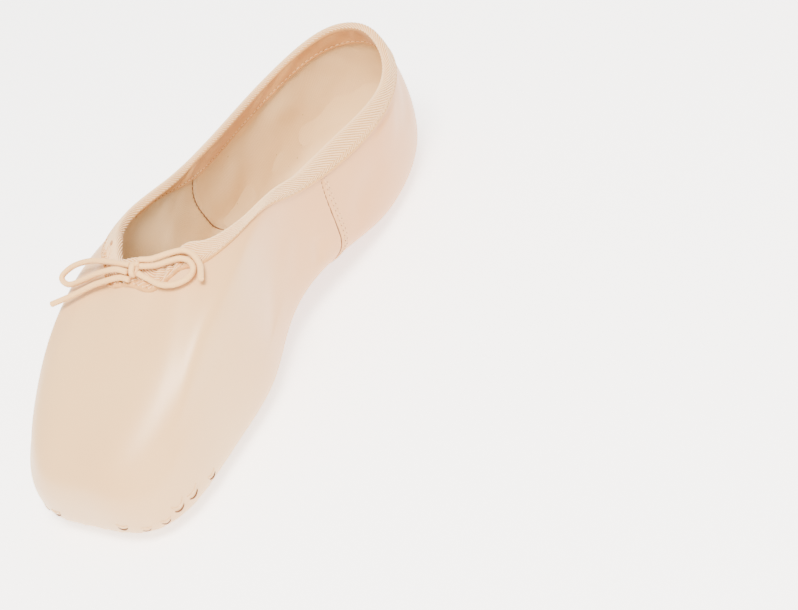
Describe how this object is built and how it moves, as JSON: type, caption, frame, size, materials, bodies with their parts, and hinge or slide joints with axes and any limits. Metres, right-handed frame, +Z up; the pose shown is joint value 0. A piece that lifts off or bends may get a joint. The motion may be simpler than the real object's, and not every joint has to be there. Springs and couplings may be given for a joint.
{
  "type": "pointe shoe",
  "caption": "Pointe shoe with a stiffened flat-ended toe box, bound collar with a drawstring bow, and a thin waisted outsole.",
  "frame": {"origin": "centre of the bounding box in plan, on the plane that the sole stands on", "axes": "+Z up, toe towards -Y, heel towards +Y, +X to the wearer's left when the shoe is worn"},
  "size_m": [0.07, 0.2329, 0.0683],
  "materials": {
    "satin": "ivory satin with a soft broad sheen",
    "binding_tape": "matt cream herringbone cotton tape",
    "heel_strip_satin": "ivory satin strip",
    "sole_leather": "pinkish-brown scored suede-finished leather",
    "insole_board": "beige cotton canvas over board",
    "cord_cotton": "pale peach cotton cord"
  },
  "bodies": {
    "root": {"upper": "satin", "collar_binding": "binding_tape", "heel_strip": "heel_strip_satin", "outsole": "sole_leather", "insole": "insole_board", "drawstring_knot": "cord_cotton", "drawstring_loop_left": "cord_cotton", "drawstring_loop_right": "cord_cotton", "drawstring_end_left": "cord_cotton", "drawstring_end_right": "cord_cotton"}
  },
  "joints": []
}
